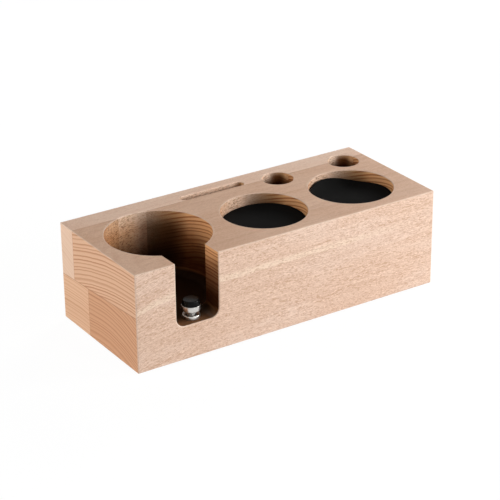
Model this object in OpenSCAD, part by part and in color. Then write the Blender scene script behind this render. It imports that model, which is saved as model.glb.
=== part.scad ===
// Espresso tamping station: a glued-up wood block with a tamping well and its neck slot, two mat pockets,
// two tool holes, a tool slot, and a rest of adjustable height for the neck of the portafilter.
// Millimetres. X runs left to right, Y front to back, Z up. The origin is the centre of the base.

/* [Block] */
// Length of the block, left to right
block_l = 240; // [236:1:280]
// Depth of the block, front to back
block_d = 100; // [100:1:120]
// Height of the wood
block_h = 71; // [68:0.5:90]
// Radius of the eased outer edges
edge_r = 0.8; // [0.3:0.1:1.5]
// Chamfer on the rims of the holes and the slot
rim_ease = 0.5; // [0.2:0.1:1]

/* [Staves] */
// Thickness of the upper layer at the front face
upper_front_t = 31; // [30:0.5:36]
// Thickness of the upper layer at the back face
upper_back_t = 37.5; // [34:0.5:40]
// Depth of the stave behind, upper layer
upper_back_w = 17; // [16.5:0.5:24]
// Depth of the stave behind, lower layer
lower_back_w = 36; // [28:0.5:45]

/* [Tamping well] */
// Diameter of the well
well_d = 72.5; // [68:0.5:76]
// Depth of the well and of its neck slot
well_depth = 46.5; // [42:0.5:48]
// Wood between the well and the left end
well_side_wall = 10; // [8:0.5:14]
// How far the well's axis stands in front of the block's middle
well_forward = 1.55; // [0:0.05:3]
// Radius where the walls of the well and the slot meet the floor
well_corner_r = 6.4; // [2:0.2:8]

/* [Neck slot] */
// Width of the slot in the front face
neck_w = 32.6; // [28:0.2:40]

/* [Mat pockets] */
// Diameter of a pocket
pocket_d = 60; // [56:0.5:62]
// Depth of a pocket
pocket_depth = 10; // [7:0.5:16]
// Radius where the wall of a pocket meets its floor
pocket_corner_r = 1; // [0.6:0.1:1.4]
// Wood between the well and the first pocket
pocket_gap = 11.7; // [8:0.1:13]
// Wood between the two pockets
pocket_web = 12.8; // [8:0.1:14]
// Wood between the pockets and the front face
pocket_front_wall = 9; // [6:0.5:10]
// Room around a mat
mat_fit = 0.25; // [0.1:0.05:0.5]

/* [Tool holes] */
// Diameter of a tool hole
tool_hole_d = 22.7; // [16:0.1:24]
// Depth of a tool hole
tool_hole_depth = 30; // [20:0.5:31]
// Distance from the corner hole's axis to the right end and to the back
tool_hole_inset = 19.7; // [18.5:0.1:21]
// Distance between the two hole axes
tool_hole_pitch = 57.2; // [52:0.1:62]

/* [Tool slot] */
// Length of the slot over its round ends
tool_slot_l = 51.2; // [40:0.2:54]
// Width of the slot
tool_slot_w = 6.7; // [4.5:0.1:7.4]
// Depth of the slot
tool_slot_depth = 25; // [15:0.5:30]
// Distance from the slot's centreline to the back
tool_slot_inset = 12.6; // [10:0.1:12.8]
// Wood between the slot and the first tool hole
tool_slot_gap = 13; // [8:0.2:16]

/* [Neck rest] */
// Distance from the rest's axis to the front face
rest_inset = 8.85; // [7.5:0.05:14]
// Diameter of the stud
stud_d = 6; // [4:0.5:6]
// Length of the stud below the floor
stud_reach = 15; // [12:0.5:17]
// Running clearance round the stud
stud_fit = 0.05; // [0.02:0.01:0.08]
// Diameter of the lock ring
ring_d = 12; // [11:0.1:14]
// Height of the lock ring
ring_h = 3; // [2:0.1:4]
// Gap between the ring and the cup as the photograph shows it
cup_gap = 2.7; // [0.5:0.1:5]
// Diameter of the cup at its rim
cup_d = 12.8; // [11:0.1:15]
// Height of the cup
cup_h = 4.1; // [3:0.1:5]
// Radius of the cup's lower edge
cup_edge_r = 1.4; // [0.5:0.1:1.8]
// Depth of the socket that holds the cap
cup_socket_h = 1.3; // [0.8:0.1:1.6]
// Wall of the cup round its socket
cup_wall = 0.9; // [0.6:0.1:1.4]
// How far the foot of the cap stands in from the cup's rim
cap_step = 0.15; // [0.05:0.05:0.5]
// How much the cap's side leans in towards its top
cap_taper = 0.8; // [0.1:0.1:1]
// Height of the cap above the cup
cap_h = 3.8; // [3:0.1:6]
// Radius of the cap's upper edge
cap_edge_r = 0.9; // [0.3:0.1:1.4]

/* [Insert] */
// Outer diameter of the insert
insert_d = 9; // [8.5:0.1:10]
// Length of the insert
insert_l = 12; // [9:0.5:13]
// Room between the insert and its hole, and between the cap or stud and the cup
seat_fit = 0.03; // [0.01:0.01:0.05]
// Width of the driver slot across the insert's mouth
driver_slot_w = 1.6; // [1:0.1:2]
// Depth of the driver slot
driver_slot_h = 1.5; // [1:0.1:2.5]

/* [Foot pads] */
// Diameter of a pad
pad_d = 14; // [10:0.5:20]
// Thickness of a pad
pad_t = 1.5; // [1:0.1:3]
// Distance from a pad's centre to both nearest outer faces
pad_inset = 16; // [12:0.5:22]

/* [Hidden] */

$fn = 96;

// How far a cutting shape runs past the face it opens
over = 1;

// Outer faces of the wood
left_x = -block_l / 2;
right_x = block_l / 2;
front_y = -block_d / 2;
back_y = block_d / 2;
under_z = pad_t;
top_z = under_z + block_h;

// Upright glue planes between the staves of each layer
upper_joint_y = back_y - upper_back_w;
lower_joint_y = back_y - lower_back_w;

// Axes and floors of what is cut into the top
well_x = left_x + well_side_wall + well_d / 2;
well_y = -well_forward;
floor_z = top_z - well_depth;
pocket_left_x = well_x + well_d / 2 + pocket_gap + pocket_d / 2;
pocket_right_x = pocket_left_x + pocket_d + pocket_web;
pocket_y = front_y + pocket_front_wall + pocket_d / 2;
pocket_floor_z = top_z - pocket_depth;
tool_hole_right_x = right_x - tool_hole_inset;
tool_hole_left_x = tool_hole_right_x - tool_hole_pitch;
tool_hole_y = back_y - tool_hole_inset;
tool_slot_x = tool_hole_left_x - tool_hole_d / 2 - tool_slot_gap - tool_slot_l / 2;
tool_slot_y = back_y - tool_slot_inset;

// The mat is as thick as the corner of its pocket is high, so the wall above it is straight
mat_t = pocket_corner_r;

// The rest stands on the slot's centreline
rest_x = well_x;
rest_y = front_y + rest_inset;
ring_top_z = floor_z + ring_h;
cup_z = ring_top_z + cup_gap;
cup_top_z = cup_z + cup_h;
socket_z = cup_top_z - cup_socket_h;
cup_rim_r = 0.15;
ring_edge_r = 0.4;
stud_point = 0.8;
stud_room = 0.5;

// Colours
wood = [0.82, 0.65, 0.52];
pale_wood = [0.86, 0.71, 0.57];
warm_wood = [0.80, 0.60, 0.46];
chrome = [0.83, 0.83, 0.84];
steel = [0.62, 0.62, 0.63];
brass = [0.78, 0.62, 0.32];
rubber = [0.07, 0.07, 0.07];

// Height of the glue plane between the two layers, which rises towards the front
function seam_z(y) = top_z - upper_front_t - (upper_back_t - upper_front_t) * (y - front_y) / block_d;

// Rectangle from the origin with round corners
module round_rectangle(size_x, size_y, r) {
  translate([r, 0]) square([size_x - 2 * r, size_y]);
  translate([0, r]) square([size_x, size_y - 2 * r]);
  for (x = [r, size_x - r], y = [r, size_y - r]) {
    translate([x, y]) circle(r);
  }
}

// The whole block with its outer edges eased
module eased_block() {
  translate([left_x, front_y, under_z]) {
    intersection() {
      linear_extrude(block_h) round_rectangle(block_l, block_d, edge_r);
      translate([0, block_d, 0]) rotate([90, 0, 0]) {
        linear_extrude(block_d) round_rectangle(block_l, block_h, edge_r);
      }
      rotate([90, 0, 90]) linear_extrude(block_l) round_rectangle(block_d, block_h, edge_r);
    }
  }
}

// Cutter for a round hole from the top: straight wall, rounded floor corner, chamfered rim
module round_cut(d, depth, corner_r) {
  r = d / 2;
  rotate_extrude() {
    translate([0, -depth]) square([r - corner_r, depth + over]);
    translate([0, corner_r - depth]) square([r, depth - corner_r + over]);
    if (corner_r > 0) {
      translate([r - corner_r, corner_r - depth]) circle(corner_r);
    }
    polygon([[0, -rim_ease], [r, -rim_ease], [r + rim_ease, 0], [r + rim_ease, over], [0, over]]);
  }
}

module well_cut() {
  translate([well_x, well_y, top_z]) round_cut(well_d, well_depth, well_corner_r);
}

// Outline of the neck slot seen from the front, from its floor up
module neck_outline() {
  half_w = neck_w / 2;
  r = well_corner_r;
  translate([-half_w, r]) square([2 * half_w, well_depth + over - r]);
  translate([r - half_w, 0]) square([2 * (half_w - r), 2 * r]);
  for (side = [-1, 1]) {
    translate([side * (half_w - r), r]) circle(r);
  }
}

// Chamfer round the slot's mouth in the front face: two sides, the floor and two round corners
module neck_mouth_cut() {
  half_w = neck_w / 2;
  corner_x = half_w - well_corner_r;
  straight_h = well_depth - well_corner_r + over;
  for (side = [-1, 1]) {
    translate([0, 0, well_corner_r]) {
      linear_extrude(straight_h) {
        polygon([[0, rim_ease], [side * half_w, rim_ease], [side * (half_w + rim_ease), 0],
                 [side * (half_w + rim_ease), -over], [0, -over]]);
      }
    }
    translate([side * corner_x, rim_ease, well_corner_r]) rotate([90, 0, 0]) {
      cylinder(h = rim_ease, r1 = well_corner_r, r2 = well_corner_r + rim_ease);
    }
    translate([side * corner_x, 0, well_corner_r]) rotate([90, 0, 0]) {
      cylinder(h = over, r = well_corner_r + rim_ease);
    }
  }
  translate([-corner_x, 0, 0]) rotate([90, 0, 90]) linear_extrude(2 * corner_x) {
    polygon([[rim_ease, well_corner_r], [rim_ease, 0], [0, -rim_ease], [-over, -rim_ease],
             [-over, well_corner_r]]);
  }
}

// Chamfer along the slot's two edges in the top face
module neck_top_cut() {
  half_w = neck_w / 2;
  translate([0, well_y - front_y, well_depth]) rotate([90, 0, 0]) {
    linear_extrude(well_y - front_y + over) {
      polygon([[-half_w, -rim_ease], [half_w, -rim_ease], [half_w + rim_ease, 0],
               [half_w + rim_ease, over], [-half_w - rim_ease, over], [-half_w - rim_ease, 0]]);
    }
  }
}

module neck_cut() {
  translate([well_x, front_y, floor_z]) {
    translate([0, well_y - front_y, 0]) rotate([90, 0, 0]) {
      linear_extrude(well_y - front_y + over) neck_outline();
    }
    neck_mouth_cut();
    neck_top_cut();
  }
}

module pocket_cuts() {
  for (x = [pocket_left_x, pocket_right_x]) {
    translate([x, pocket_y, top_z]) round_cut(pocket_d, pocket_depth, pocket_corner_r);
  }
}

module tool_hole_cuts() {
  for (x = [tool_hole_left_x, tool_hole_right_x]) {
    translate([x, tool_hole_y, top_z]) round_cut(tool_hole_d, tool_hole_depth, 0);
  }
}

// Slot with round ends and a chamfered rim
module tool_slot_cut() {
  half_l = (tool_slot_l - tool_slot_w) / 2;
  r = tool_slot_w / 2;
  translate([tool_slot_x, tool_slot_y, top_z]) {
    translate([-half_l, -r, -tool_slot_depth]) cube([2 * half_l, 2 * r, tool_slot_depth + over]);
    for (side = [-1, 1]) {
      translate([side * half_l, 0, 0]) round_cut(tool_slot_w, tool_slot_depth, 0);
    }
    translate([-half_l, 0, 0]) rotate([90, 0, 90]) linear_extrude(2 * half_l) {
      polygon([[-r, -rim_ease], [r, -rim_ease], [r + rim_ease, 0], [r + rim_ease, over],
               [-r - rim_ease, over], [-r - rim_ease, 0]]);
    }
  }
}

// Stepped hole under the lock ring: the insert's seat, and room for the stud below it
module insert_hole_cut() {
  seat_r = insert_d / 2 + seat_fit;
  room_r = stud_d / 2 + stud_room;
  room_depth = stud_reach + cup_gap + stud_room;
  translate([rest_x, rest_y, floor_z - insert_l]) cylinder(h = insert_l + over, r = seat_r);
  translate([rest_x, rest_y, floor_z - room_depth]) cylinder(h = room_depth, r = room_r);
}

// Part of the upper layer between two places along each horizontal axis
module upper_stave(x0, x1, y0, y1) {
  intersection() {
    eased_block();
    translate([x0, 0, 0]) rotate([90, 0, 90]) linear_extrude(x1 - x0) {
      polygon([[y0, seam_z(y0)], [y1, seam_z(y1)], [y1, top_z + over], [y0, top_z + over]]);
    }
  }
}

// Part of the lower layer between two upright planes
module lower_stave(y0, y1) {
  intersection() {
    eased_block();
    translate([left_x - over, 0, 0]) rotate([90, 0, 90]) linear_extrude(block_l + 2 * over) {
      polygon([[y0, under_z - over], [y1, under_z - over], [y1, seam_z(y1)], [y0, seam_z(y0)]]);
    }
  }
}

module stave_upper_back() {
  color(pale_wood) difference() {
    upper_stave(left_x - over, right_x + over, upper_joint_y, back_y + over);
    well_cut();
    tool_hole_cuts();
    tool_slot_cut();
  }
}

// The well and its neck slot cut the front stave of the upper layer right through, so it is two pieces
module stave_upper_front_left() {
  color(wood) difference() {
    upper_stave(left_x - over, well_x, front_y - over, upper_joint_y);
    well_cut();
    neck_cut();
  }
}

module stave_upper_front_right() {
  color(wood) difference() {
    upper_stave(well_x, right_x + over, front_y - over, upper_joint_y);
    well_cut();
    neck_cut();
    pocket_cuts();
    tool_hole_cuts();
  }
}

module stave_lower_back() {
  color(wood) difference() {
    lower_stave(lower_joint_y, back_y + over);
    well_cut();
  }
}

module stave_lower_front() {
  color(warm_wood) difference() {
    lower_stave(front_y - over, lower_joint_y);
    well_cut();
    neck_cut();
    insert_hole_cut();
  }
}

// Mat that fills the pocket's floor, its lower edge following the rounded corner
module mat(x) {
  r = pocket_d / 2 - mat_fit;
  translate([x, pocket_y, pocket_floor_z]) color(rubber) {
    rotate_extrude() {
      intersection() {
        union() {
          square([r - mat_t, mat_t]);
          translate([r - mat_t, mat_t]) circle(mat_t);
        }
        square([r, mat_t]);
      }
    }
  }
}

module mat_left() {
  mat(pocket_left_x);
}

module mat_right() {
  mat(pocket_right_x);
}

// Threaded sleeve flush with the slot floor, with a driver slot across its mouth
module floor_insert() {
  translate([rest_x, rest_y, floor_z]) color(brass) difference() {
    translate([0, 0, -insert_l]) cylinder(h = insert_l, d = insert_d);
    translate([0, 0, -insert_l - over]) cylinder(h = insert_l + 2 * over, r = stud_d / 2 + stud_fit);
    translate([-insert_d, -driver_slot_w / 2, -driver_slot_h]) {
      cube([2 * insert_d, driver_slot_w, driver_slot_h + over]);
    }
  }
}

// Ring that locks the stud, flat on the slot floor
module lock_ring() {
  inner_r = stud_d / 2 + stud_fit;
  width = ring_d / 2 - inner_r;
  translate([rest_x, rest_y, floor_z]) color(chrome) rotate_extrude() {
    translate([inner_r, 0]) round_rectangle(width, ring_h, ring_edge_r);
  }
}

// Stud with pointed ends, from its hole in the floor to the bottom of the cup's socket
module rest_stud() {
  r = stud_d / 2;
  bottom = floor_z - stud_reach;
  translate([rest_x, rest_y, 0]) color(steel) {
    translate([0, 0, bottom]) cylinder(h = stud_point, r1 = r - stud_point, r2 = r);
    translate([0, 0, bottom + stud_point]) cylinder(h = socket_z - bottom - 2 * stud_point, r = r);
    translate([0, 0, socket_z - stud_point]) cylinder(h = stud_point, r1 = r, r2 = r - stud_point);
  }
}

// Cup with a rounded lower edge, a hole for the stud and a socket for the cap
module rest_cup() {
  r = cup_d / 2;
  translate([rest_x, rest_y, cup_z]) color(chrome) difference() {
    rotate_extrude() {
      square([r - cup_edge_r, cup_h]);
      translate([0, cup_edge_r]) square([r - cup_rim_r, cup_h - cup_edge_r]);
      translate([0, cup_edge_r]) square([r, cup_h - cup_edge_r - cup_rim_r]);
      translate([r - cup_edge_r, cup_edge_r]) circle(cup_edge_r);
      translate([r - cup_rim_r, cup_h - cup_rim_r]) circle(cup_rim_r);
    }
    translate([0, 0, -over]) cylinder(h = cup_h + over, r = stud_d / 2 + seat_fit);
    translate([0, 0, cup_h - cup_socket_h]) cylinder(h = cup_socket_h + over, r = r - cup_wall);
  }
}

// Rubber cap: a plug in the cup's socket and a tapered head with a round upper edge
module rest_cap() {
  plug_r = cup_d / 2 - cup_wall - seat_fit;
  base_r = cup_d / 2 - cap_step;
  top_r = base_r - cap_taper;
  translate([rest_x, rest_y, cup_top_z]) color(rubber) rotate_extrude() {
    translate([0, -cup_socket_h]) square([plug_r, cup_socket_h + cap_h / 2]);
    polygon([[0, 0], [base_r, 0], [top_r, cap_h - cap_edge_r], [0, cap_h - cap_edge_r]]);
    square([top_r - cap_edge_r, cap_h]);
    intersection() {
      translate([top_r - cap_edge_r, cap_h - cap_edge_r]) circle(cap_edge_r);
      translate([0, cap_h - cap_edge_r]) square([base_r, cap_edge_r]);
    }
  }
}

// Anti-slip pad under one corner; the sides are -1 or 1 along X and Y
module foot_pad(side_x, side_y) {
  x = side_x * (block_l / 2 - pad_inset);
  y = side_y * (block_d / 2 - pad_inset);
  translate([x, y, 0]) color(rubber) cylinder(h = pad_t, d = pad_d);
}

module foot_pad_front_left() {
  foot_pad(-1, -1);
}

module foot_pad_front_right() {
  foot_pad(1, -1);
}

module foot_pad_back_left() {
  foot_pad(-1, 1);
}

module foot_pad_back_right() {
  foot_pad(1, 1);
}

stave_upper_back();
stave_upper_front_left();
stave_upper_front_right();
stave_lower_back();
stave_lower_front();
mat_left();
mat_right();
floor_insert();
lock_ring();
rest_stud();
rest_cup();
rest_cap();
foot_pad_front_left();
foot_pad_front_right();
foot_pad_back_left();
foot_pad_back_right();
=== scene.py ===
"""Dresses the tamping station: wood, rubber and chrome around its fixed frame, in metres.

The staves stay as the frame gives them and get solid wood finishes, whose rings and pores run through
the block. The mats, the neck rest and the foot pads are surfaces worked out with numpy.
"""

import logging
from dataclasses import dataclass, field
from enum import Enum
from typing import NamedTuple

import bmesh
import bpy
import numpy as np
from mathutils import Matrix, Vector


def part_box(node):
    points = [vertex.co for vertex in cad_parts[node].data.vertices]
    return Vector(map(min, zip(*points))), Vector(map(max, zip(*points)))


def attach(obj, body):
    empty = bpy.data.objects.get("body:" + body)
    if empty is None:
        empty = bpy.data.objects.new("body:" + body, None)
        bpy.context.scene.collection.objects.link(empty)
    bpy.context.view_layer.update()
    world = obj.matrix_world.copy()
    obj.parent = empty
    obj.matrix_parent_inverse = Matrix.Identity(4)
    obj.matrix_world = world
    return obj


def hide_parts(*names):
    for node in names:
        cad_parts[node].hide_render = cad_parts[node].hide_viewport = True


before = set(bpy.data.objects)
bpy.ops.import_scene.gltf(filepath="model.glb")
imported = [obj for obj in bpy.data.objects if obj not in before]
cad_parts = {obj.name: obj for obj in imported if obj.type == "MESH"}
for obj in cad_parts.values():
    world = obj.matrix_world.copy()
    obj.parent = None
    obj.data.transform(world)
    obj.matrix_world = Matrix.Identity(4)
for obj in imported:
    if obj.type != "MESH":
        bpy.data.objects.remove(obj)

LOG = logging.getLogger("tamping_station")
MM = 0.001
FULL_TURN = 2 * np.pi
WHITE = (1.0, 1.0, 1.0)

Colour = tuple[float, float, float]
Socket = bpy.types.NodeSocket


class MixMode(Enum):
    """How a colour is laid over another."""

    COVER = "MIX"
    DARKEN = "MULTIPLY"


class Marks(NamedTuple):
    """Marks in the grain, where noise passes a threshold.

    scale is about how many come to a millimetre along each axis. A mark starts at one level of the noise
    and is full at another; if that is the lower one, the marks are the noise's hollows.
    """

    scale: Colour
    starts: float
    full: float


@dataclass(frozen=True)
class BlockPlan:
    """Places of the block's faces, joints and holes, in millimetres.

    The outer faces come from the frame's staves, and the rest are the construction's own sizes. Each of
    the round holes has its axis's x and y and its radius.
    """

    low: Vector
    high: Vector
    upper_joint_y: float = 33.0
    lower_joint_y: float = 14.0
    seam_front_z: float = 41.5
    seam_back_z: float = 35.0
    tool_holes_x: float = 25.0
    tool_holes_y: float = 19.2
    slot_x: float = -73.75
    slot_half_w: float = 16.3
    slot_corner_r: float = 6.4
    slot_floor_z: float = 26.0
    slot_back_y: float = -33.9
    well_end_x: float = -30.0
    holes: tuple[tuple[float, float, float], ...] = (
        (-73.75, -1.55, 36.25), (4.2, -11.0, 30.0), (77.0, -11.0, 30.0), (43.1, 30.3, 11.35),
        (100.3, 30.3, 11.35))


def box_of(nodes: list[str]) -> tuple[Vector, Vector]:
    """Gives the lowest and the highest corner of the box round several CAD nodes, in millimetres."""
    corners = np.array([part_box(node) for node in nodes]) / MM
    return Vector(corners[:, 0].min(0)), Vector(corners[:, 1].max(0))


def foot_of(node: str) -> np.ndarray:
    """Gives the place of the foot of a round upright CAD node's axis, in metres."""
    low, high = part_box(node)
    return np.array([(low.x + high.x) / 2, (low.y + high.y) / 2, low.z])


def round_size(node: str) -> tuple[float, float]:
    """Gives the radius and the height of a round upright CAD node, in metres."""
    low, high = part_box(node)
    return (high.x - low.x) / 2, high.z - low.z


def scaled(colour: Colour, by: Colour) -> Colour:
    """Multiplies a colour by another, part by part."""
    return tuple(part * share for part, share in zip(colour, by))


class Value:
    """What a node gives: a number, a vector or a colour. Numbers take plain arithmetic."""

    def __init__(self, graph: "NodeGraph", socket: Socket) -> None:
        """Keeps an output socket with the graph that it belongs to."""
        self.graph = graph
        self.socket = socket

    def __add__(self, other: "Operand") -> "Value":
        """Adds a number."""
        return self.graph.math("ADD", self, other)

    def __sub__(self, other: "Operand") -> "Value":
        """Takes a number away."""
        return self.graph.math("SUBTRACT", self, other)

    def __rsub__(self, other: float) -> "Value":
        """Takes this away from a number."""
        return self.graph.math("SUBTRACT", other, self)

    def __mul__(self, other: "Operand") -> "Value":
        """Multiplies by a number."""
        return self.graph.math("MULTIPLY", self, other)

    def __abs__(self) -> "Value":
        """Leaves out the sign."""
        return self.graph.math("ABSOLUTE", self)

    def most(self, *others: "Operand") -> "Value":
        """Gives the largest of this and other numbers."""
        largest = self
        for other in others:
            largest = self.graph.math("MAXIMUM", largest, other)
        return largest

    def least(self, *others: "Operand") -> "Value":
        """Gives the smallest of this and other numbers."""
        smallest = self
        for other in others:
            smallest = self.graph.math("MINIMUM", smallest, other)
        return smallest

    def ease(self, low: float, high: float) -> "Value":
        """Makes a smooth step of this number.

        Args:
            low: where the step is 0; it may be the larger of the two.
            high: where the step is 1.

        Returns:
            The step, from 0 to 1.
        """
        rising = float(low < high)
        inputs = {"Value": self, "From Min": min(low, high), "From Max": max(low, high),
                  "To Min": 1.0 - rising, "To Max": rising}
        return self.graph.give("ShaderNodeMapRange", "Result", inputs, interpolation_type="SMOOTHSTEP")

    def spread(self, low: float, high: float) -> "Value":
        """Stretches this from the range 0 to 1 over the range low to high, in a straight line."""
        return self * (high - low) + low

    def split(self) -> tuple["Value", "Value", "Value"]:
        """Takes this vector apart."""
        outputs = self.graph.node("ShaderNodeSeparateXYZ", {0: self}).outputs
        return tuple(Value(self.graph, output) for output in outputs)


Operand = float | Value


class NodeGraph:
    """A node tree, built by short calls that each give a value."""

    def __init__(self, tree: bpy.types.NodeTree) -> None:
        """Takes over a tree and empties it."""
        self.tree = tree
        tree.nodes.clear()

    def node(self, kind: str, inputs: dict[int | str, object], **settings: object) -> bpy.types.Node:
        """Adds a node.

        Args:
            kind: the node's class name.
            inputs: what its inputs get, by place or name.
            **settings: its properties by name.

        Returns:
            The node.
        """
        made = self.tree.nodes.new(kind)
        for key, setting in settings.items():
            setattr(made, key, setting)
        for key, value in inputs.items():
            self.feed(made.inputs[key], value)
        return made

    def give(self, kind: str, output: int | str, inputs: dict[int | str, object],
             **settings: object) -> Value:
        """Adds a node as above, and gives one of its outputs, by place or name."""
        return Value(self, self.node(kind, inputs, **settings).outputs[output])

    def feed(self, target: Socket, value: object) -> None:
        """Links a value into an input, or sets the input to a plain number, colour or vector."""
        if isinstance(value, Value):
            self.tree.links.new(value.socket, target)
        elif target.type == "RGBA":
            target.default_value = (*value, 1.0)
        else:
            target.default_value = value

    def math(self, operation: str, a: Operand, b: Operand = 0.0, clamp: bool = False) -> Value:
        """Combines two numbers by an operation; clamp holds the result between 0 and 1."""
        return self.give("ShaderNodeMath", 0, {0: a, 1: b}, operation=operation, use_clamp=clamp)

    def vector(self, operation: str, a: object, b: object = (0, 0, 0)) -> Value:
        """Combines two vectors by an operation, three of which give a number."""
        output = "Value" if operation in {"LENGTH", "DISTANCE", "DOT_PRODUCT"} else "Vector"
        return self.give("ShaderNodeVectorMath", output, {0: a, 1: b}, operation=operation)

    def join(self, x: Operand, y: Operand, z: Operand) -> Value:
        """Makes a vector of three numbers."""
        return self.give("ShaderNodeCombineXYZ", 0, {0: x, 1: y, 2: z})

    def noise(self, place: Value, scale: Colour, detail: float = 2.0, roughness: float = 0.5,
              output: str = "Fac") -> Value:
        """Adds three-dimensional noise.

        Args:
            place: where it is asked for.
            scale: its waves to a unit of the place along each axis.
            detail: how many finer layers are added.
            roughness: how strong the finer layers are.
            output: Fac for a number, or Color for three.

        Returns:
            The noise, from 0 to 1.
        """
        inputs = {"Vector": self.vector("MULTIPLY", place, scale), "Scale": 1.0, "Detail": detail,
                  "Roughness": roughness}
        return self.give("ShaderNodeTexNoise", output, inputs)

    def noise_along(self, place: Value, detail: float = 1.0) -> Value:
        """Adds noise along a number, with features about one unit wide, from 0 to 1."""
        inputs = {"W": place, "Scale": 1.0, "Detail": detail}
        return self.give("ShaderNodeTexNoise", "Fac", inputs, noise_dimensions="1D")

    def tint(self, share: Operand, under: object, over: object, mode: MixMode = MixMode.COVER) -> Value:
        """Lays a colour over another; share is how much of it shows, and mode is how it is laid on."""
        return self.give("ShaderNodeMix", 2, {0: share, 6: under, 7: over}, data_type="RGBA",
                         blend_type=mode.value, clamp_result=False)


class FinishGraph(NodeGraph):
    """A material's nodes: a Principled shader, and the place on the object in millimetres."""

    def __init__(self, name: str) -> None:
        """Makes the material by its name."""
        self.material = bpy.data.materials.new(name)
        self.material.use_nodes = True
        super().__init__(self.material.node_tree)
        self.shader = self.node("ShaderNodeBsdfPrincipled", {})
        self.node("ShaderNodeOutputMaterial", {"Surface": Value(self, self.shader.outputs["BSDF"])})
        self.coordinates = self.node("ShaderNodeTexCoord", {}).outputs
        inputs = {0: Value(self, self.coordinates["Object"]), "Scale": 1 / MM}
        self.place = self.give("ShaderNodeVectorMath", "Vector", inputs, operation="SCALE")

    def finished(self, colour: Value, roughness: Value, specular: Operand, height: Value, depth: float,
                 strength: float) -> bpy.types.Material:
        """Completes the shader.

        Args:
            colour: its colour.
            roughness: its roughness.
            specular: how much it mirrors.
            height: its relief, from 0 to 1.
            depth: what a height of 1 stands for, in metres.
            strength: how much of the relief shows.

        Returns:
            The material.
        """
        inputs = {"Strength": strength, "Distance": depth, "Height": height}
        relief = self.give("ShaderNodeBump", "Normal", inputs)
        values = {"Base Color": colour, "Roughness": roughness, "Specular IOR Level": specular,
                  "Normal": relief}
        for name, value in values.items():
            self.feed(self.shader.inputs[name], value)
        return self.material


@dataclass(frozen=True)
class PaleBand:
    """A pale layer in the wood: rings between two radii about the pith, up to a place along the grain."""

    inner: float
    outer: float
    ends_at: float
    fades_over: float
    colour: Colour
    strength: float


@dataclass(frozen=True)
class WoodFinish:
    """Solid wood of one stave: rings round a pith that runs along X, with fibres and pores along X.

    Lengths but the relief's are in millimetres. The long grain shows on the sides, and the end grain
    where a face looks along X, so a round wall turns from one to the other. Near the block's left end
    the grain dips. Most tones are painted shade, which the colour is multiplied by on the top and in
    places in the holes; the late tones and the glue's and the torn specks' colours belong to the wood.
    """

    name: str
    side: Colour
    side_pale: Colour
    side_deep: Colour
    end: Colour
    end_deep: Colour
    pith_y: float
    pith_z: float
    ring_gap: float
    ring_strength: float
    side_ring_strength: float = 0.22
    fibre_strength: float = 0.3
    fleck_strength: float = 0.9
    pore_strength: float = 0.62
    streak_strength: float = 0.35
    fleck: Colour = (0.50, 0.27, 0.15)
    # The pale specks' colour, also the painted highlights and painted light on edges, rims and walls.
    pale_speck_and_painted_light: Colour = (0.93, 0.75, 0.61)
    # Painted shade on the top, which the colour is multiplied by there.
    painted_top_shade: Colour = (1.0, 0.88, 0.77)
    late_end: Colour = (0.8, 0.62, 0.5)
    glue: Colour = (0.62, 0.45, 0.34)
    # Painted shade in the holes, down to the rim's tone; only late_tone is the rings' own colour.
    painted_warm_wall_shade: Colour = (1.0, 0.86, 0.61)
    painted_right_facing_shade: Colour = (0.76, 0.65, 0.50)
    painted_forward_left_shade: Colour = (0.15, 0.12, 0.085)
    painted_deep_shade: Colour = (0.2, 0.16, 0.13)
    painted_right_wall_shade: Colour = (0.78, 0.73, 0.68)
    late_tone: Colour = (0.62, 0.47, 0.37)
    painted_well_wall_shade: Colour = (0.9, 0.74, 0.58)
    painted_slot_right_shade: Colour = (0.56, 0.5, 0.5)
    painted_floor_shade: Colour = (0.36, 0.38, 0.42)
    painted_floor_back_shade: Colour = (0.13, 0.12, 0.1)
    # Painted shade on the rims that look right.
    painted_rim_shade: Colour = (0.4, 0.36, 0.3)
    torn_speck_tone: Colour = (0.42, 0.34, 0.27)
    short_pores: Marks = Marks((0.5, 1.9, 1.9), 0.55, 0.63)
    long_pores: Marks = Marks((0.17, 1.8, 1.8), 0.59, 0.66)
    bright_flecks: Marks = Marks((0.6, 1.9, 1.9), 0.45, 0.36)
    end_dots: Marks = Marks((1.0, 1.2, 1.2), 0.52, 0.72)
    torn_dark: Marks = Marks((0.45, 0.7, 1.4), 0.56, 0.63)
    torn_pale: Marks = Marks((0.45, 0.65, 1.3), 0.44, 0.36)
    dip: float = 9.0
    dip_length: float = 25.0
    wander: float = 1.1
    quick_wander: float = 0.2
    seed: float = 0.0
    roughness: float = 0.56
    relief: float = 0.12 * MM
    shine: float = 0.2
    shine_in_painted_shade: float = 0.02
    band: PaleBand | None = None

    def build(self, plan: BlockPlan) -> bpy.types.Material:
        """Makes the material for a block of that plan."""
        return WoodGraph(self, plan).build()


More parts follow.
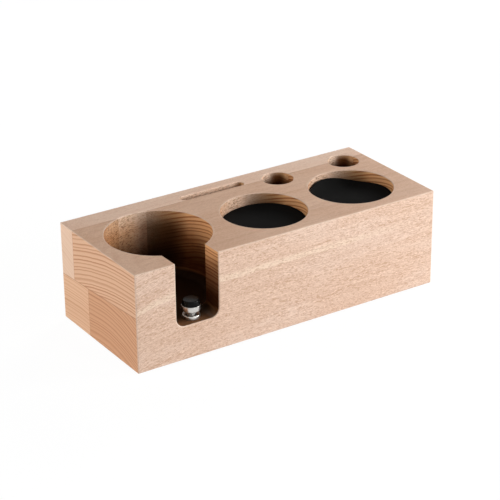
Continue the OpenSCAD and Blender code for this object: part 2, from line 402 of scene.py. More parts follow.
class WoodGraph(FinishGraph):
    """The nodes of a wood, whose colours are laid over one another."""

    def __init__(self, wood: WoodFinish, plan: BlockPlan) -> None:
        """Works out what many steps ask for: the place in block and grain, and the kind of face."""
        super().__init__(wood.name)
        self.wood = wood
        self.plan = plan
        self.x, self.y, self.z = self.place.split()
        self.facing = Value(self, self.coordinates["Normal"]).split()
        self.upward = self.facing[2].ease(0.5, 0.95)
        self.past = self.beyond_faces()
        self.outer = self.outer_share()
        self.grain = self.grain_place()
        self.grain_x, grain_y, grain_z = self.grain.split()
        pith = (0.0, wood.pith_y, wood.pith_z)
        self.radius = self.vector("DISTANCE", self.join(0.0, grain_y, grain_z), pith)
        self.late, self.ring_tone = self.rings()
        self.colour = wood.side

    def cover(self, share: Operand, colour: Value | Colour) -> None:
        """Lays a colour over the wood's colour so far."""
        self.colour = self.tint(share, self.colour, colour)

    def darken(self, share: Operand, tone: Colour) -> None:
        """Multiplies the wood's colour so far by a tone."""
        self.colour = self.tint(share, self.colour, tone, MixMode.DARKEN)

    def grain_place(self) -> Value:
        """Gives the place in the grain, in millimetres.

        The height loses dip (1 - exp(-(x - left end) / dip length)), and noise shifts it sideways.

        Returns:
            The place.
        """
        wood = self.wood
        from_end = self.x - self.plan.low.x
        fade = self.math("EXPONENT", from_end * (-1 / wood.dip_length))
        drop = (fade - 1.0) * wood.dip
        place = self.vector("ADD", self.place, (wood.seed, 0.0, 0.0))
        place = self.vector("ADD", place, self.join(0.0, 0.0, drop))
        slow = self.sway(place, (0.008, 0.03, 0.03), wood.wander)
        quick = self.sway(place, (0.04, 0.13, 0.13), wood.quick_wander)
        return self.vector("ADD", place, self.vector("ADD", slow, quick))

    def sway(self, place: Value, scale: Colour, size: float) -> Value:
        """Gives a sideways shift by noise of a scale, up to a size."""
        noise = self.noise(place, scale, 1.0, output="Color")
        centred = self.vector("SUBTRACT", noise, (0.5, 0.5, 0.5))
        return self.vector("MULTIPLY", centred, (0.0, 2 * size, 2 * size))

    def beyond_faces(self) -> tuple[Value, Value, Value]:
        """Gives how far a place lies beyond the block's outer faces along each axis, negative inside."""
        middle = (self.plan.low + self.plan.high) / 2
        half = (self.plan.high - self.plan.low) / 2
        centred = self.vector("ABSOLUTE", self.vector("SUBTRACT", self.place, tuple(middle)))
        return self.vector("SUBTRACT", centred, tuple(half)).split()

    def outer_share(self) -> Value:
        """Tells the block's outer faces from the walls and floors of its holes.

        Along each axis, how far the face looks that way counts with how near the outer face there is, and
        the largest of the three decides.

        Returns:
            1 on an outer face and 0 in a hole.
        """
        shares = [abs(part) * beyond.ease(-1.2, -0.3) for part, beyond in zip(self.facing, self.past)]
        return shares[0].most(*shares[1:]).ease(0.35, 0.6)

    def rings(self) -> tuple[Value, Value]:
        """Works out the growth rings: the distance from the pith over the gap, in whole turns.

        Returns:
            The late wood, 1 on a ring's dark line, and a slow tone from ring to ring, both from 0 to 1.
        """
        turn = self.math("DIVIDE", self.radius, self.wood.ring_gap)
        turn = turn + self.noise_along(turn * 0.35) * 1.3
        part = self.math("FRACT", turn)
        each = self.give("ShaderNodeTexWhiteNoise", "Value", {"W": self.math("FLOOR", turn)},
                         noise_dimensions="1D")
        late = part.ease(0.42, 0.84) * part.ease(1.0, 0.9) * each.spread(0.45, 1.0)
        return late, self.noise_along(turn * 0.21, 0.0)

    def specks(self, marks: Marks) -> Value:
        """Scatters marks in the grain, 1 in the middle of one."""
        return self.noise(self.grain, marks.scale, 1.0).ease(marks.starts, marks.full)

    def long_grain(self) -> Value:
        """Lays on the colours of a face that runs along the grain, its pores and its bright flecks, and
        paints shade on the top.

        The top was sanded finer than the sides, so its pores show less.

        Returns:
            The pores, 1 in the middle of a dark one.
        """
        wood = self.wood
        cloud = self.noise(self.grain, (0.014, 0.05, 0.05), 1.0)
        streak = self.noise(self.grain, (0.012, 0.28, 0.28)).ease(0.42, 0.72)
        fibre = self.noise(self.grain, (0.09, 1.5, 1.5)).ease(0.42, 0.72)
        self.cover(cloud.ease(0.42, 0.64), wood.side_pale)
        self.cover(streak * wood.streak_strength, wood.side_deep)
        self.cover(self.late * wood.side_ring_strength, wood.side_deep)
        self.cover(fibre * wood.fibre_strength, wood.side_deep)
        if wood.band is not None:
            self.cover(self.band_share(wood.band), wood.band.colour)
        light = tuple(min(0.95, 1.13 * part) for part in wood.side_pale)
        flecks = self.specks(wood.bright_flecks) * self.upward.spread(0.75, 0.35)
        self.cover(flecks * wood.fleck_strength, light)
        pores = self.specks(wood.short_pores).most(self.specks(wood.long_pores))
        pores = pores * self.upward.spread(1.0, 0.4)
        self.cover(pores * (wood.pore_strength * wood.fleck_strength), wood.fleck)
        # Painted shade: the top is made darker and warmer than the sides.
        self.darken(self.upward, wood.painted_top_shade)
        return pores

    def band_share(self, band: PaleBand) -> Value:
        """Gives how much of a pale band shows: its inner border is crisp and its outer one soft."""
        starts = self.radius.ease(band.inner - 0.35, band.inner + 0.35)
        stops = self.radius.ease(band.outer + 2.5, band.outer - 1.5)
        along = self.grain_x.ease(band.ends_at + band.fades_over, band.ends_at)
        return starts * stops * along * band.strength

    def end_grain(self) -> None:
        """Lays the end grain's colours on faces that cut across the fibres."""
        wood = self.wood
        end = self.tint(self.ring_tone * 0.35, wood.end, wood.end_deep)
        end = self.tint(self.late * wood.ring_strength, end, scaled(wood.end_deep, wood.late_end))
        end = self.tint(self.specks(wood.end_dots) * 0.25, end, wood.end_deep)
        self.cover(abs(self.facing[0]).ease(0.3, 0.92), end)

    def build(self) -> bpy.types.Material:
        """Lays on the wood's colours in order and gives the material."""
        wood = self.wood
        pores = self.long_grain()
        self.end_grain()
        self.glue_lines()
        self.paint_edge_highlights()
        torn = self.torn_specks()
        # The holes' painted shade also lowers the shine there.
        painted_shade_share = self.paint_hole_shade()
        fine = self.noise(self.grain, (0.09, 1.5, 1.5))
        return self.finished(self.colour, fine.spread(wood.roughness - 0.1, wood.roughness + 0.1),
                             painted_shade_share.spread(wood.shine, wood.shine_in_painted_shade),
                             fine * 0.35 - pores * 0.5 - torn * 1.5, wood.relief, 0.6)

    def glue_lines(self) -> None:
        """Darkens a hair's breadth along the joints: the tilted seam and the upright joint of a layer.

        The seam hardly shows on the front and the back, where the fibres run along it.
        """
        plan = self.plan
        rise = (plan.seam_back_z - plan.seam_front_z) / (plan.high.y - plan.low.y)
        above = self.z - (self.y * rise + (plan.seam_front_z - rise * plan.low.y))
        is_upper = self.math("GREATER_THAN", above, 0.0)
        joint = is_upper.spread(plan.lower_joint_y, plan.upper_joint_y)
        at_end = abs(self.facing[0]).ease(0.5, 0.9)
        seam_line = abs(above).ease(0.5, 0.2) * at_end.spread(0.05, 1.0)
        near = seam_line.most(abs(self.y - joint).ease(0.3, 0.08))
        patchy = self.noise(self.place, (0.05, 0.12, 0.12), 1.0)
        shown = self.math("MULTIPLY", near, patchy.spread(0.1, 0.95) * self.outer, clamp=True)
        self.cover(shown, scaled(self.wood.end_deep, self.wood.glue))

    def paint_edge_highlights(self) -> None:
        """Paints highlights, in a pale colour, on the block's outer edges, the holes' rims and the slot's
        outline, and paints shade on the rims that look right.

        The second largest of the distances beyond the block's faces says how near an outer edge is. A rim
        is a slanting face less than a millimetre below the top.
        """
        facing_x, facing_y, facing_z = self.facing
        past_x, past_y, past_z = self.past
        second = past_x.least(past_y).most(past_x.most(past_y).least(past_z))
        edge = second.ease(-0.9, -0.3) * 0.45
        slant = facing_z.ease(0.45, 0.6) * facing_z.ease(0.9, 0.8)
        rim = slant * past_z.ease(-1.2, -0.8) * 0.45
        # Painted shade on the rims that look right.
        self.darken(rim * 2.0 * facing_x.ease(0.1, 0.45), self.wood.painted_rim_shade)
        rim = rim * facing_x.ease(0.45, 0.1) * facing_y.ease(-0.5, -0.1).spread(0.1, 1.0)
        round_rim = self.round_rims() * past_z.ease(-0.9, -0.6)
        # Painted highlight on the outer edges, the rims and the slot's outline.
        shine = edge.most(rim, self.slot_outline() * 0.85, round_rim * 0.2)
        self.cover(shine, self.wood.pale_speck_and_painted_light)

    def round_rims(self) -> Value:
        """Marks the rims of the round holes, where a highlight is painted: 1 within a hair's breadth of a
        hole's edge, seen from above.
        """
        place = self.join(self.x, self.y, 0.0)
        apart = [abs(self.vector("DISTANCE", place, (x, y, 0.0)) - (radius + 0.35))
                 for x, y, radius in self.plan.holes]
        return apart[0].least(*apart[1:]).ease(0.8, 0.4)

    def slot_outline(self) -> Value:
        """Marks the neck slot's outline on the block's front face, where a highlight is painted, fainter on
        its right side.

        The outline is a round-cornered U. With a and b the distances beyond the corners' centres, to the
        side and down, and not below 0, a place lies the root of a squared and b squared, less the corner
        radius, outside it.

        Returns:
            1 on the outline and 0 away from it.
        """
        plan = self.plan
        r = plan.slot_corner_r
        aside = (abs(self.x - plan.slot_x) - (plan.slot_half_w - r)).most(0.0)
        down = (plan.slot_floor_z + r - self.z).most(0.0)
        outside = self.vector("LENGTH", self.join(aside, down, 0.0)) - r
        at_front = (self.y - plan.low.y).ease(0.8, 0.4)
        left_side = self.math("LESS_THAN", self.x, plan.slot_x - plan.slot_half_w / 2)
        return abs(outside).ease(0.8, 0.45) * at_front * left_side.spread(0.5, 1.0)

    def torn_specks(self) -> Value:
        """Lays torn specks on walls that look forward and a little right, cut against the grain.

        Returns:
            The dark ones, 1 in the middle of one.
        """
        wood = self.wood
        facing_x, facing_y, _ = self.facing
        zone = facing_x.ease(-0.12, 0.06) * facing_x.ease(0.95, 0.75) * facing_y.ease(-0.25, -0.5)
        zone = zone * (1.0 - self.outer)
        dark = self.specks(wood.torn_dark) * zone
        self.cover(self.specks(wood.torn_pale) * zone * 0.6, wood.pale_speck_and_painted_light)
        self.cover(dark * 0.7, scaled(wood.side_deep, wood.torn_speck_tone))
        return dark

    def depth_below_top(self) -> Value:
        """Gives the depth below the top in millimetres, counted several times in the tool holes."""
        beyond_x = self.math("GREATER_THAN", self.x, self.plan.tool_holes_x)
        beyond_y = self.math("GREATER_THAN", self.y, self.plan.tool_holes_y)
        return (self.plan.high.z - self.z) * (beyond_x * beyond_y).spread(1.0, 3.5)

    def paint_hole_shade(self) -> Value:
        """Paints shade and light in the holes, by depth and by the way the walls face, and darkens their
        rings.

        Walls that look forward and left get the darkest painted shade.

        Returns:
            The share of the strongest painted shade, from 0 to 1, which also lowers the shine.
        """
        wood = self.wood
        facing_x, facing_y, facing_z = self.facing
        inside = 1.0 - self.outer
        depth = self.depth_below_top()
        below_rim = depth.ease(0.0, 14.0)
        # Painted light: walls that look right are made pale, as if lit.
        self.cover(facing_x.ease(0.93, 0.99) * inside, wood.pale_speck_and_painted_light)
        # Painted shade: walls that look left get a warmer, darker tone, as of light bounced between walls.
        self.darken(facing_x.ease(-0.1, -0.8) * inside, wood.painted_warm_wall_shade)
        right_facing_walls = facing_x.ease(-0.4, 0.1) * facing_x.ease(0.99, 0.93) * inside
        beside_well = self.math("GREATER_THAN", self.x, self.plan.well_end_x)
        # Painted shade on walls that look right, full in the well and weaker beside it.
        self.darken(right_facing_walls * beside_well.spread(1.0, 0.45), wood.painted_right_facing_shade)
        # Painted shade, darker still on walls that look more squarely right.
        self.darken(facing_x.ease(0.55, 0.85) * right_facing_walls, wood.painted_right_wall_shade)
        ringed = facing_x.ease(-0.45, -0.85) * inside * (self.late * depth.ease(34.0, 12.0))
        self.darken(ringed, wood.late_tone)
        # Painted shade: in the well, walls that look right darken below the rim.
        self.darken(below_rim * right_facing_walls * (1.0 - beside_well), wood.painted_well_wall_shade)
        # Painted shade, the darkest: walls that look forward and left.
        towards = self.vector("DOT_PRODUCT", self.join(facing_x, facing_y, 0.0), (-0.54, -0.84, 0.0))
        forward_left_share = towards.ease(0.83, 1.0) * inside * below_rim.spread(0.5, 0.98)
        self.darken(forward_left_share, wood.painted_forward_left_shade)
        # Painted shade: the slot's right wall darkens with depth.
        in_slot = self.math("LESS_THAN", self.y, self.plan.slot_back_y)
        slot_right = facing_x.ease(-0.9, -0.99) * depth.ease(3.0, 22.0) * in_slot * inside
        self.darken(slot_right, wood.painted_slot_right_shade)
        # Painted shade: deeper wood is darker, little on walls that look right; floors darker still, more so
        # away from the front.
        deep = depth.ease(12.0, 36.0) * inside * facing_x.ease(0.5, 0.9).spread(1.0, 0.05)
        level = facing_z.ease(0.1, 0.6) * deep
        self.darken(deep - level, wood.painted_deep_shade)
        self.darken(level, wood.painted_floor_shade)
        from_front = self.y - self.plan.low.y
        self.darken(from_front.ease(2.0, 14.0) * level, wood.painted_floor_back_shade)
        return forward_left_share.most(deep)


@dataclass(frozen=True)
class RubberFinish:
    """Matt black rubber with a fine moulded grain."""

    name: str
    colour: Colour
    worn: Colour
    roughness: float
    grain: float = 2.2
    depth: float = 0.03 * MM
    specular: float = 0.3

    def build(self) -> bpy.types.Material:
        """Makes the material."""
        graph = FinishGraph(self.name)
        fine = graph.noise(graph.place, (self.grain, self.grain, self.grain), 3.0, 0.6)
        dusty = graph.noise(graph.place, (0.07, 0.07, 0.07)).ease(0.4, 0.75) * 0.5
        return graph.finished(graph.tint(dusty, self.colour, self.worn),
                              fine.spread(self.roughness - 0.1, self.roughness + 0.1), self.specular,
                              fine, self.depth, 0.7)


@dataclass(frozen=True)
class MetalFinish:
    """Plated or turned metal, with fine marks round its vertical axis."""

    name: str
    colour: Colour
    smudge: Colour
    roughness: float
    marks: float = 0.04
    depth: float = 0.004 * MM
    specular: float = 0.5

    def build(self) -> bpy.types.Material:
        """Makes the material."""
        graph = FinishGraph(self.name)
        turned = graph.noise(graph.place, (0.15, 0.15, 9.0))
        smudged = graph.noise(graph.place, (0.5, 0.5, 0.5)).ease(0.45, 0.8) * 0.4
        graph.shader.inputs["Metallic"].default_value = 1.0
        return graph.finished(graph.tint(smudged, self.colour, self.smudge),
                              turned.spread(self.roughness - self.marks, self.roughness + self.marks),
                              self.specular, turned, self.depth, 0.5)


def add_object(name: str, data: bpy.types.ID) -> bpy.types.Object:
    """Adds an object to the scene, at the origin."""
    made = bpy.data.objects.new(name, data)
    bpy.context.scene.collection.objects.link(made)
    return made


def grid_piece(name: str, points: np.ndarray, smooth_angle: float = 40.0) -> bpy.types.Object:
    """Makes a piece from a grid of points, a quad between each four neighbours.

    Rows run along the profile and columns right round it. Points that fall together, as at a pole, are
    merged, and the faces are turned outwards.

    Args:
        name: the piece's name.
        points: the places, as rows by columns by three, in metres.
        smooth_angle: the steepest edge that is still shaded smooth, in degrees.

    Returns:
        The object, at the origin.
    """
    rows, columns = points.shape[:2]
    index = np.arange(rows * columns).reshape(rows, columns)
    index = np.concatenate([index, index[:, :1]], axis=1)
    corners = np.stack([index[:-1, :-1], index[:-1, 1:], index[1:, 1:], index[1:, :-1]], axis=-1)
    mesh = bpy.data.meshes.new(name)
    mesh.from_pydata(points.reshape(-1, 3).tolist(), [], corners.reshape(-1, 4).tolist())
    work = bmesh.new()
    work.from_mesh(mesh)
    bmesh.ops.remove_doubles(work, verts=work.verts, dist=1e-7)
    bmesh.ops.dissolve_degenerate(work, edges=work.edges, dist=1e-8)
    bmesh.ops.recalc_face_normals(work, faces=work.faces)
    work.to_mesh(mesh)
    work.free()
    mesh.shade_smooth()
    mesh.set_sharp_from_angle(angle=np.radians(smooth_angle))
    return add_object(name, mesh)


def rounded_profile(corners: list[tuple[float, float, float]], steps: int = 8) -> np.ndarray:
    """Rounds the corners of an open outline.

    At a corner with the half angle h between its sides, the arc of radius r starts and ends r / tan(h)
    from the corner, and its centre lies r / sin(h) along the line that halves the corner.

    Args:
        corners: the radius, the height and the rounding of each corner; 0 leaves it sharp.
        steps: how many pieces each arc has.

    Returns:
        The rounded outline's points, in order.
    """
    rows = np.array(corners, float)
    places = rows[:, :2]
    out = [places[:1]]
    for before, here, after, r in zip(places[:-2], places[1:-1], places[2:], rows[1:-1, 2]):
        if r <= 0:
            out.append(here[None])
            continue
        back = (before - here) / np.linalg.norm(before - here)
        ahead = (after - here) / np.linalg.norm(after - here)
        half = np.arccos(np.clip(back @ ahead, -1, 1)) / 2
        middle = (back + ahead) / np.linalg.norm(back + ahead)
        centre = here + middle * r / np.sin(half)
        first = here + back * r / np.tan(half) - centre
        last = here + ahead * r / np.tan(half) - centre
        share = np.linspace(0, 1, steps + 1)[:, None]
        sweep = np.pi - 2 * half
        arc = (np.sin((1 - share) * sweep) * first + np.sin(share * sweep) * last) / np.sin(sweep)
        out.append(centre + arc)
    out.append(places[-1:])
    return np.concatenate(out)


def turns(segments: int) -> np.ndarray:
    """Gives the angles of the columns round an axis."""
    return np.linspace(0, FULL_TURN, segments, endpoint=False)


def revolved(radius: np.ndarray, height: np.ndarray, segments: int) -> np.ndarray:
    """Turns an outline round the vertical axis: each point goes to (r cos a, r sin a, z).

    Args:
        radius: its radii, in a column, or a column for each angle.
        height: its heights, in a column.
        segments: how many columns go round.

    Returns:
        The grid of places, rows along the outline by columns round the axis by three.
    """
    x = radius * np.cos(turns(segments))
    y = radius * np.sin(turns(segments))
    return np.stack([x, y, np.broadcast_to(height, x.shape)], axis=-1)


def turned_piece(node: str, ending: str, profile: np.ndarray, segments: int) -> bpy.types.Object:
    """Makes a turned piece where its CAD node stands.

    Args:
        node: the node's name.
        ending: what the piece's name ends with.
        profile: its outline, as rows of radius and height above the node's foot.
        segments: how many columns go round.

    Returns:
        The object, at the origin.
    """
    return grid_piece(f"{node}_{ending}", revolved(profile[:, :1], profile[:, 1:], segments) + foot_of(node))


def paint_node(node: str, material: bpy.types.Material) -> None:
    """Gives a CAD node one material in all its slots."""
    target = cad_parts[node]
    target.data.materials.clear()
    target.data.materials.append(material)


def place_piece(piece: bpy.types.Object, material: bpy.types.Material, body: str, node: str,
                slot: str) -> None:
    """Finishes a piece: its material, the body that it rides on and the node that it stands for.

    Args:
        piece: the piece.
        material: its material.
        body: the CAD body's name.
        node: the CAD node that it replaces.
        slot: the name of the piece's material slot; not used.
    """
    piece.data.materials.append(material)
    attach(piece, body)
    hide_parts(node)
    LOG.info("built %s on %s, with %d faces", piece.name, body, len(piece.data.polygons))


@dataclass
class Block:
    """The glued-up wood block: five staves, each with its own grain."""

    plan: BlockPlan

    def woods(self) -> dict[WoodFinish, tuple[str, ...]]:
        """Gives each wood, with its pith, ring gap and tones, and the staves cut from it."""
        tones = dict(side=(0.80, 0.58, 0.45), side_pale=(0.84, 0.64, 0.52), side_deep=(0.64, 0.41, 0.288))
        upper_front = WoodFinish(
            name="wood_upper_front", end=(0.80, 0.50, 0.32), end_deep=(0.60, 0.32, 0.18), pith_y=-48.0,
            pith_z=-160.0, ring_gap=2.7, ring_strength=1.0,
            band=PaleBand(inner=202.0, outer=205.5, ends_at=20.0, fades_over=90.0,
                          colour=(0.92, 0.75, 0.59), strength=0.65), **tones)
        upper_back = WoodFinish(
            name="wood_upper_back", side=(0.93, 0.70, 0.555), side_pale=(0.95, 0.74, 0.60),
            side_deep=(0.82, 0.56, 0.42), end=(0.86, 0.61, 0.45), end_deep=(0.76, 0.5, 0.34),
            painted_top_shade=(1.04, 0.96, 0.91), painted_right_facing_shade=(0.80, 0.73, 0.64), painted_forward_left_shade=(0.18, 0.095, 0.04),
            pith_y=72.0, pith_z=-40.0, ring_gap=2.7, ring_strength=0.3, seed=311.0)
        lower_back = WoodFinish(
            name="wood_lower_back", end=(0.83, 0.52, 0.33), end_deep=(0.66, 0.37, 0.215), pith_y=24.0,
            pith_z=-160.0, ring_gap=2.4, ring_strength=0.6, seed=540.0, **tones)
        lower_front = WoodFinish(
            name="wood_lower_front", end=(0.71, 0.39, 0.223), end_deep=(0.56, 0.275, 0.14), pith_y=-6.0,
            pith_z=-100.0, ring_gap=2.7, ring_strength=0.9, seed=805.0, **tones)
        return {
            upper_front: ("stave_upper_front_left", "stave_upper_front_right"),
            upper_back: ("stave_upper_back",),
            lower_back: ("stave_lower_back",),
            lower_front: ("stave_lower_front",),
        }

    def dress(self) -> None:
        """Puts each stave's wood on its CAD node."""
        for finish, nodes in self.woods().items():
            material = finish.build(self.plan)
            for node in nodes:
                paint_node(node, material)
                LOG.info("dressed %s with %s", node, finish.name)


@dataclass(frozen=True)
class Curl:
    """A bend in a mat: beyond a straight line the mat follows a round arc upwards.

    toward is the direction of the bend in degrees, start is where it begins as a share of the radius,
    and lift is how far the mat's edge comes up, in metres.
    """

    toward: float
    start: float
    lift: float

    def bend(self, points: np.ndarray, radius: float) -> np.ndarray:
        """Bends places without stretching the mat.

        x + i y is turned by a complex number, so that its real part s is the distance along the
        direction. Past the start the turn is b = k (s - start), and a place at height w goes to
        start + sin(b) / k - w sin(b) along it and (1 - cos(b)) / k + w cos(b) up.

        Args:
            points: places about the mat's middle, as rows by columns by three.
            radius: the mat's radius.

        Returns:
            The bent places.
        """
        toward = np.exp(1j * np.radians(self.toward))
        flat = (points[..., 0] + 1j * points[..., 1]) / toward
        along, up = flat.real, points[..., 2]
        start = self.start * radius
        k = 2 * self.lift / (radius - start) ** 2
        turn = k * np.maximum(along - start, 0)
        new_along = np.minimum(along, start) + np.sin(turn) / k - up * np.sin(turn)
        new_up = (1 - np.cos(turn)) / k + up * np.cos(turn)
        bent = (new_along + 1j * flat.imag) * toward
        return np.stack([bent.real, bent.imag, new_up], axis=-1)


@dataclass
class Mats:
    """The two loose rubber mats in their pockets."""

    finish: RubberFinish
    curls: dict[str, tuple[Curl, ...]]
    edge_r: float = 0.3 * MM
    edge_steps: int = 5
    rings: int = 40
    segments: int = 160

    def build(self) -> None:
        """Builds each mat where its CAD node lies."""
        material = self.finish.build()
        for node, curls in self.curls.items():
            radius, thick = round_size(node)
            points = self.disc(radius, thick)
            for curl in curls:
                points = curl.bend(points, radius)
            piece = grid_piece(f"{node}_sheet", points + foot_of(node))
            place_piece(piece, material, "block", node, "mat_rubber")

    def disc(self, radius: float, thick: float) -> np.ndarray:
        """Works out a flat disc with rounded edges, on a grid of rings and columns.

        Args:
            radius: the disc's radius.
            thick: its thickness.

        Returns:
            The grid of places, from the middle of the top over the edge to the middle of the underside.
        """
        share = np.linspace(0, 1, self.rings)[:, None]
        flat_r = radius - self.edge_r
        inner = flat_r * share
        edge = rounded_profile([(flat_r, thick, 0), (radius, thick, self.edge_r), (radius, 0, self.edge_r),
                                (flat_r, 0, 0)], self.edge_steps)[1:-1]
        radii = np.concatenate([inner, edge[:, :1], inner[::-1]])
        heights = np.concatenate([np.full_like(share, thick), edge[:, 1:], np.zeros_like(share)])
        return revolved(radii, heights, self.segments)


@dataclass
class NeckRest:
    """The rest for the portafilter's neck: a lock ring, a threaded stud, a cup and a rubber cap."""

    chrome: MetalFinish
    steel: MetalFinish
    brass: MetalFinish
    rubber: RubberFinish
    segments: int = 128
    ring_edge_r: float = 0.55 * MM
    ring_bore_r: float = 0.2 * MM
    ring_play: float = 0.05 * MM
    cup_play: float = 0.03 * MM
    cup_edge_r: float = 1.0 * MM
    cup_lip_r: float = 0.15 * MM
    cup_wall: float = 0.9 * MM
    cup_socket_h: float = 1.3 * MM
    cap_plug_r: float = 0.1 * MM
    cap_lip_r: float = 0.15 * MM
    cap_edge_r: float = 0.9 * MM
    cap_step: float = 0.15 * MM
    cap_taper: float = 0.8 * MM
    round_steps: int = 12
    thread_pitch: float = 1.0 * MM
    thread_depth: float = 0.5 * MM
    thread_rows: int = 12
    stud_point: float = 0.8 * MM
    stud_segments: int = 64

    def build(self) -> None:
        """Builds the four pieces and dresses the hidden insert."""
        chrome = self.chrome.build()
        turned = (
            ("lock_ring", self.ring_profile(), chrome, "block", "bright_chrome"),
            ("rest_cup", self.cup_profile(), chrome, "neck_rest", "bright_chrome"),
            ("rest_cap", self.cap_profile(), self.rubber.build(), "neck_rest", "cap_rubber"),
        )
        for node, profile, material, body, slot in turned:
            place_piece(turned_piece(node, "turned", profile, self.segments), material, body, node, slot)
        stud = grid_piece("rest_stud_threaded", self.stud_surface() + foot_of("rest_stud"), smooth_angle=50)
        place_piece(stud, self.steel.build(), "neck_rest", "rest_stud", "stud_steel")
        paint_node("floor_insert", self.brass.build())

    def ring_profile(self) -> np.ndarray:
        """Works out the lock ring: a closed loop with rounded outer edges round the stud."""
        r, h = round_size("lock_ring")
        bore = round_size("rest_stud")[0] + self.ring_play
        return rounded_profile([(bore, h / 2, 0), (bore, h, self.ring_bore_r), (r, h, self.ring_edge_r),
                                (r, 0, self.ring_edge_r), (bore, 0, self.ring_bore_r), (bore, h / 2, 0)])

    def cup_profile(self) -> np.ndarray:
        """Works out the cup: a rounded foot, an upright rim, and inside it the cap's socket."""
        r, h = round_size("rest_cup")
        bore = round_size("rest_stud")[0] + self.cup_play
        floor = h - self.cup_socket_h
        socket = r - self.cup_wall
        return rounded_profile([(bore, floor / 2, 0), (bore, 0, 0), (r, 0, self.cup_edge_r),
                                (r, h, self.cup_lip_r), (socket, h, self.cup_lip_r), (socket, floor, 0),
                                (bore, floor, 0), (bore, floor / 2, 0)], self.round_steps)

    def cap_profile(self) -> np.ndarray:
        """Works out the cap: a plug below, a side that leans in, a round shoulder and a flat top."""
        cup_r = round_size("rest_cup")[0]
        h = round_size("rest_cap")[1]
        foot = self.cup_socket_h
        plug = cup_r - self.cup_wall - self.cup_play
        base = cup_r - self.cap_step
        top = base - self.cap_taper
        return rounded_profile([(0, 0, 0), (plug, 0, self.cap_plug_r), (plug, foot, 0),
                                (base, foot, self.cap_lip_r), (top, h, self.cap_edge_r), (0, h, 0)],
                               self.round_steps)

    def stud_surface(self) -> np.ndarray:
        """Works out the stud's thread on a grid of height and angle.

        With p the pitch, the phase is z / p - a / a full turn, and the radius falls from the crest by
        the thread's depth times a wave that is flat on the crest and in the root. At both ends the radius
        is held below a cone, which gives the point.

        Returns:
            The grid of places, closed at both poles.
        """
        crest, height = round_size("rest_stud")
        rows = int(round(height / self.thread_pitch * self.thread_rows))
        up = np.linspace(0, height, rows)[:, None]
        phase = np.mod(up / self.thread_pitch - turns(self.stud_segments) / FULL_TURN, 1.0)
        wave = np.clip(np.abs(phase - 0.5) * 2.6 - 0.25, 0.0, 1.0)
        ends = np.minimum(up, height - up) + crest - self.stud_point
        radius = np.minimum(crest - self.thread_depth * wave, ends)
        with_poles = np.pad(radius, ((1, 1), (0, 0)))
        return revolved(with_poles, np.pad(up, ((1, 1), (0, 0)), "edge"), self.stud_segments)


@dataclass
class FootPads:
    """Four stuck-on rubber pads with a rounded lower edge and a slightly hollow sole."""

    finish: RubberFinish
    edge_r: float = 0.45 * MM
    top_r: float = 0.1 * MM
    sole_edge_r: float = 0.05 * MM
    hollow: float = 0.2 * MM
    hollow_r: float = 0.1 * MM
    sole_share: float = 0.72
    hollow_share: float = 0.66
    segments: int = 72

    def build(self) -> None:
        """Builds each pad where its CAD node lies."""
        material = self.finish.build()
        for end in ("front", "back"):
            for side in ("left", "right"):
                node = f"foot_pad_{end}_{side}"
                piece = turned_piece(node, "moulded", self.profile(*round_size(node)), self.segments)
                place_piece(piece, material, "block", node, "pad_rubber")

    def profile(self, r: float, thick: float) -> np.ndarray:
        """Works out a pad of a radius and thickness, from the middle of its top to that of its sole."""
        return rounded_profile([(0, thick, 0), (r, thick, self.top_r), (r, 0, self.edge_r),
                                (self.sole_share * r, 0, self.sole_edge_r),
                                (self.hollow_share * r, self.hollow, self.hollow_r), (0, self.hollow, 0)])


@dataclass(frozen=True)
class Lamp:
    """A square soft light, aimed at the block.

    azimuth is where it stands, in degrees round from +X towards +Y, and elevation is its height in
    degrees. Its power is in watts, and its distance and side are in metres.
    """

    name: str
    azimuth: float
    elevation: float
    power: float
    distance: float = 1.6
    side: float = 0.6

    def build(self, target: Vector) -> None:
        """Makes the lamp, aimed at a place."""
        data = bpy.data.lights.new(self.name, "AREA")
        data.shape = "RECTANGLE"
        data.size = self.side
        data.size_y = self.side
        data.energy = self.power
        lamp = add_object(self.name, data)
        azimuth, elevation = np.radians([self.azimuth, self.elevation])
        level = np.cos(elevation)
        away = Vector((np.cos(azimuth) * level, np.sin(azimuth) * level, np.sin(elevation)))
        lamp.location = target + away * self.distance
        lamp.rotation_euler = away.to_track_quat("Z", "Y").to_euler()


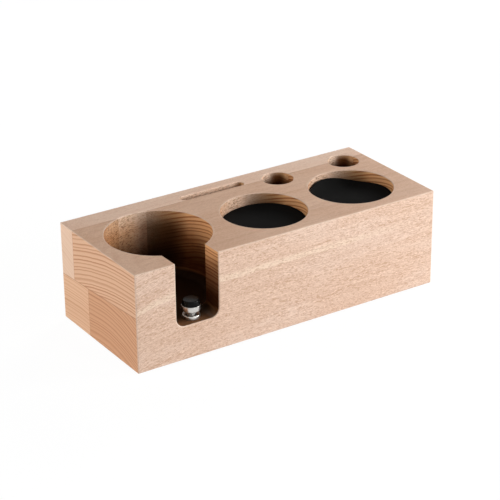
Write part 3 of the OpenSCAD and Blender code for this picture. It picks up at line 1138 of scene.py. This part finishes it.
@dataclass
class Studio:
    """The pale floor, the soft light and the camera."""

    lamps: tuple[Lamp, ...] = (
        Lamp("right_front_softbox", azimuth=-32, elevation=12, power=19.5),
        Lamp("front_softbox", azimuth=-75, elevation=18, power=9.8),
        Lamp("left_softbox", azimuth=165, elevation=8, power=17.3),
        Lamp("back_softbox", azimuth=30, elevation=28, power=12),
    )
    ambient: float = 0.04
    floor_colour: Colour = (0.82, 0.82, 0.82)
    floor_half: float = 6.0
    floor_glow: float = 0.92
    floor_glow_strength: float = 1.05
    camera_place: Vector = field(default_factory=lambda: Vector((-0.63195, -0.97243, 0.57965)))
    camera_forward: Vector = field(default_factory=lambda: Vector((0.4937, 0.7602, -0.4223)).normalized())
    camera_roll: float = -0.62
    focal_px: float = 1852.46
    lower_px: float = 0.12
    image_px: float = 500.0
    sensor_mm: float = 36.0
    nearest: float = 0.01

    def build(self, target: Vector) -> None:
        """Makes the whole studio, with the lamps aimed at a place."""
        self.make_world()
        self.make_floor()
        for lamp in self.lamps:
            lamp.build(target)
        self.make_camera()
        bpy.context.scene.view_settings.view_transform = "Standard"

    def seen_directly(self, graph: NodeGraph) -> Value:
        """Gives 1 for rays that show the background: seen, mirrored or passed through."""
        path = graph.node("ShaderNodeLightPath", {})
        total = Value(graph, path.outputs["Is Camera Ray"])
        for name in ("Is Glossy Ray", "Is Transmission Ray"):
            total = graph.math("ADD", total, Value(graph, path.outputs[name]), clamp=True)
        return total

    def make_world(self) -> None:
        """Makes a world that shows white and lights the object weakly."""
        world = bpy.data.worlds.new("studio_world")
        bpy.context.scene.world = world
        world.use_nodes = True
        graph = NodeGraph(world.node_tree)
        strength = graph.give("ShaderNodeMapRange", "Result",
                              {"Value": self.seen_directly(graph), "To Min": self.ambient, "To Max": 1.0})
        background = graph.give("ShaderNodeBackground", "Background", {"Color": WHITE, "Strength": strength})
        graph.node("ShaderNodeOutputWorld", {"Surface": background})

    def make_floor(self) -> None:
        """Makes the floor: pale and matt, with part of its white shown as a glow to the camera."""
        half = self.floor_half
        corners = [(-half, -half, 0), (half, -half, 0), (half, half, 0), (-half, half, 0)]
        mesh = bpy.data.meshes.new("studio_floor")
        mesh.from_pydata(corners, [], [(0, 1, 2, 3)])
        floor = add_object("studio_floor", mesh)
        material = bpy.data.materials.new("floor_white")
        material.use_nodes = True
        material.cycles.emission_sampling = "NONE"
        graph = NodeGraph(material.node_tree)
        matt = graph.give("ShaderNodeBsdfDiffuse", "BSDF", {"Color": self.floor_colour})
        glow = graph.give("ShaderNodeEmission", "Emission",
                          {"Color": WHITE, "Strength": self.floor_glow_strength})
        share = self.seen_directly(graph) * self.floor_glow
        mixed = graph.give("ShaderNodeMixShader", "Shader", {0: share, 1: matt, 2: glow})
        graph.node("ShaderNodeOutputMaterial", {"Surface": mixed})
        mesh.materials.append(material)

    def make_camera(self) -> None:
        """Makes the camera: it stands where the block's corners fall on their places in the picture."""
        data = bpy.data.cameras.new("picture_camera")
        data.sensor_width = self.sensor_mm
        data.lens = self.focal_px * self.sensor_mm / self.image_px
        data.shift_y = self.lower_px / self.image_px
        data.clip_start = self.nearest
        camera = add_object("picture_camera", data)
        forward = self.camera_forward
        level = forward.cross(Vector((0, 0, 1))).normalized()
        right = Matrix.Rotation(-np.radians(self.camera_roll), 3, forward) @ level
        up = right.cross(forward)
        turned = Matrix((right, up, -forward)).transposed()
        camera.matrix_world = Matrix.Translation(self.camera_place) @ turned.to_4x4()
        bpy.context.scene.camera = camera


def main() -> None:
    """Builds the studio and every piece, in order, and reports each."""
    logging.basicConfig(level=logging.INFO, format="%(name)s: %(message)s")
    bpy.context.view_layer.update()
    plan = BlockPlan(*box_of([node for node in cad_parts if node.startswith("stave")]))
    Studio().build((plan.low + plan.high) / 2 * MM)
    Block(plan).dress()
    mat_rubber = RubberFinish("rubber_mat", (0.008, 0.008, 0.0078), (0.014, 0.014, 0.0135), 0.8,
                              specular=0.02)
    Mats(mat_rubber, {
        "mat_left": (Curl(35.0, 0.1, 1.7 * MM), Curl(215.0, 0.2, 0.4 * MM)),
        "mat_right": (Curl(104.0, 0.3, 6.1 * MM), Curl(-5.0, 0.3, 1.8 * MM)),
    }).build()
    NeckRest(
        chrome=MetalFinish("chrome_plate", (0.58, 0.56, 0.535), (0.5, 0.48, 0.455), 0.28),
        steel=MetalFinish("steel_stud", (0.34, 0.33, 0.32), (0.28, 0.27, 0.26), 0.22),
        brass=MetalFinish("brass_insert", (0.75, 0.58, 0.3), (0.66, 0.48, 0.24), 0.3),
        rubber=RubberFinish("rubber_cap", (0.003, 0.003, 0.003), (0.005, 0.005, 0.005), 0.18,
                            depth=0.004 * MM, specular=0.09),
    ).build()
    FootPads(RubberFinish("rubber_pad", (0.03, 0.03, 0.03), (0.05, 0.05, 0.05), 0.7)).build()


if __name__ == "__main__":
    main()
